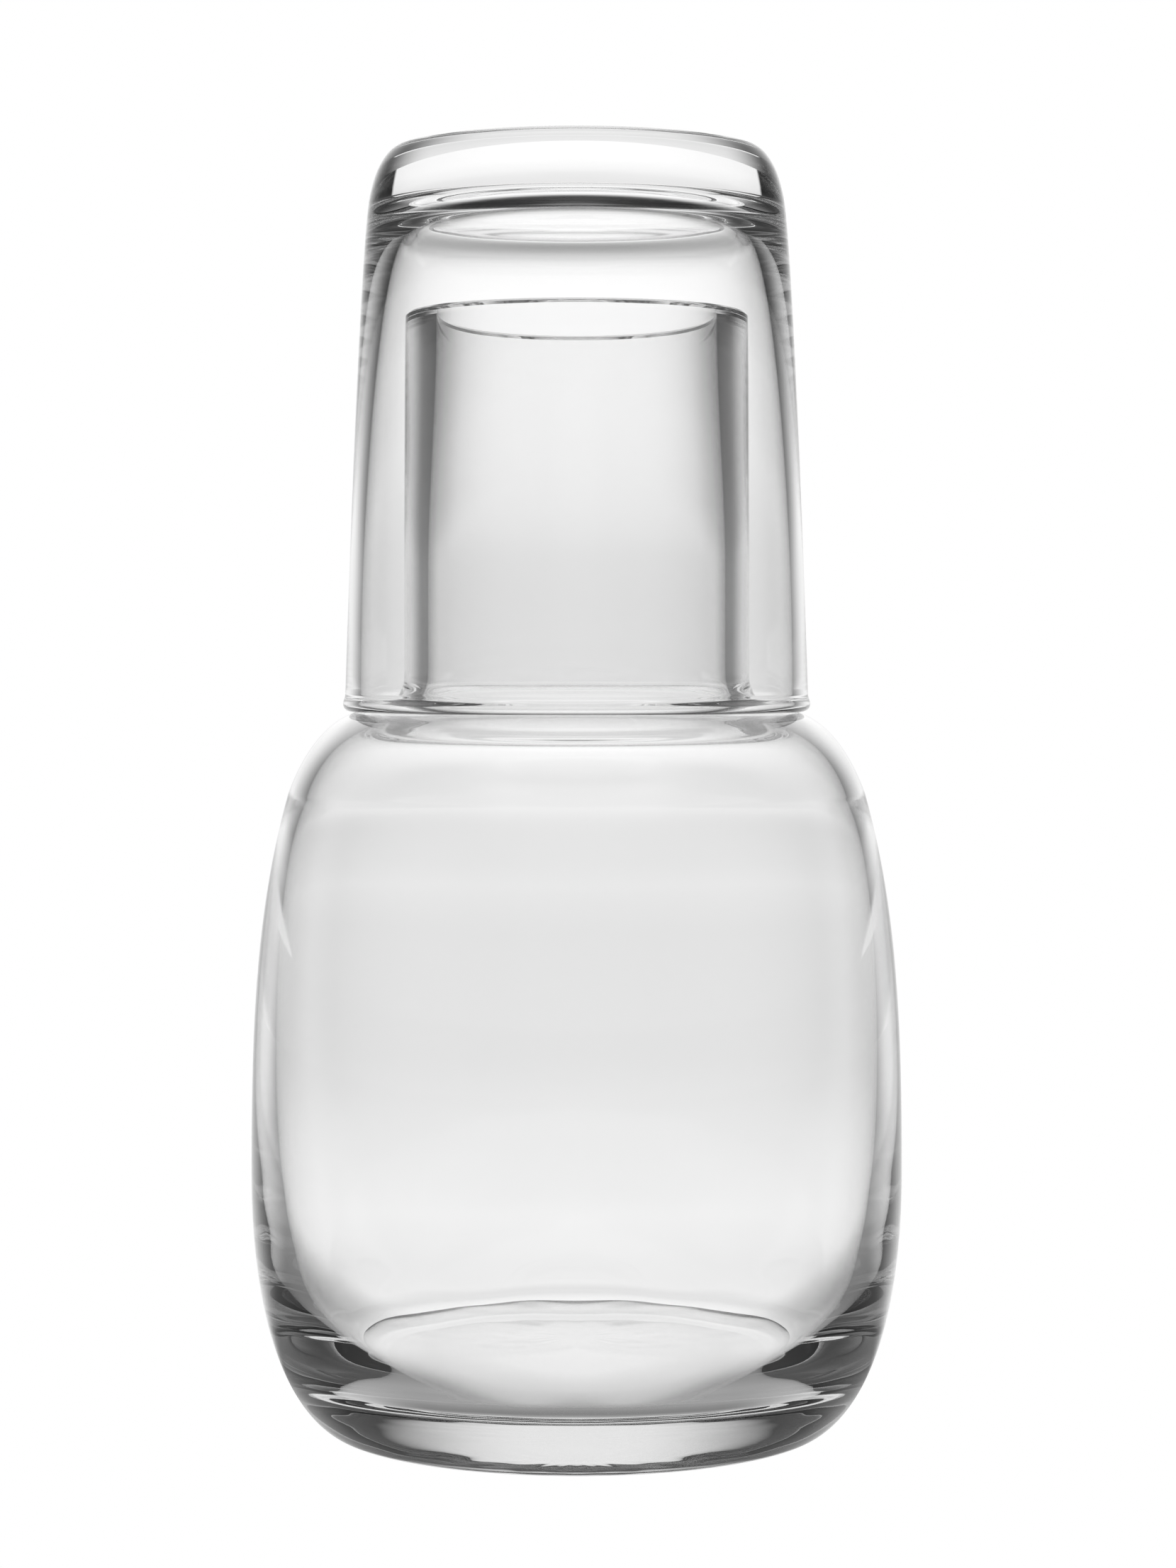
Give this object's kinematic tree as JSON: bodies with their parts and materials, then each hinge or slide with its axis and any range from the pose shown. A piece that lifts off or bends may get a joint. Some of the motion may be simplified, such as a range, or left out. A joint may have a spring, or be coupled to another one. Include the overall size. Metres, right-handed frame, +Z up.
{
  "type": "bedside carafe with tumbler",
  "caption": "Clear thick-glass carafe with a rounded body and a straight neck, covered by an upturned tumbler that lifts off the neck.",
  "frame": {"origin": "centre of the carafe's flat base, on the surface that it stands on", "axes": "+Z up along the shared axis of the carafe and the tumbler; both are surfaces of revolution, so X and Y are interchangeable"},
  "size_m": [0.102, 0.102, 0.2],
  "materials": {
    "carafe_glass": "clear colourless polished glass with faint cords in its thick base",
    "tumbler_glass": "clear colourless polished glass with faint cords in its thick base"
  },
  "bodies": {
    "carafe_body": {"carafe": "carafe_glass"},
    "tumbler_body": {"tumbler": "tumbler_glass"}
  },
  "joints": [
    {"name": "tumbler_lift", "type": "slide", "parent": "carafe_body", "child": "tumbler_body", "axis": [0, 0, 1], "range_m": [0, 0.08]}
  ]
}
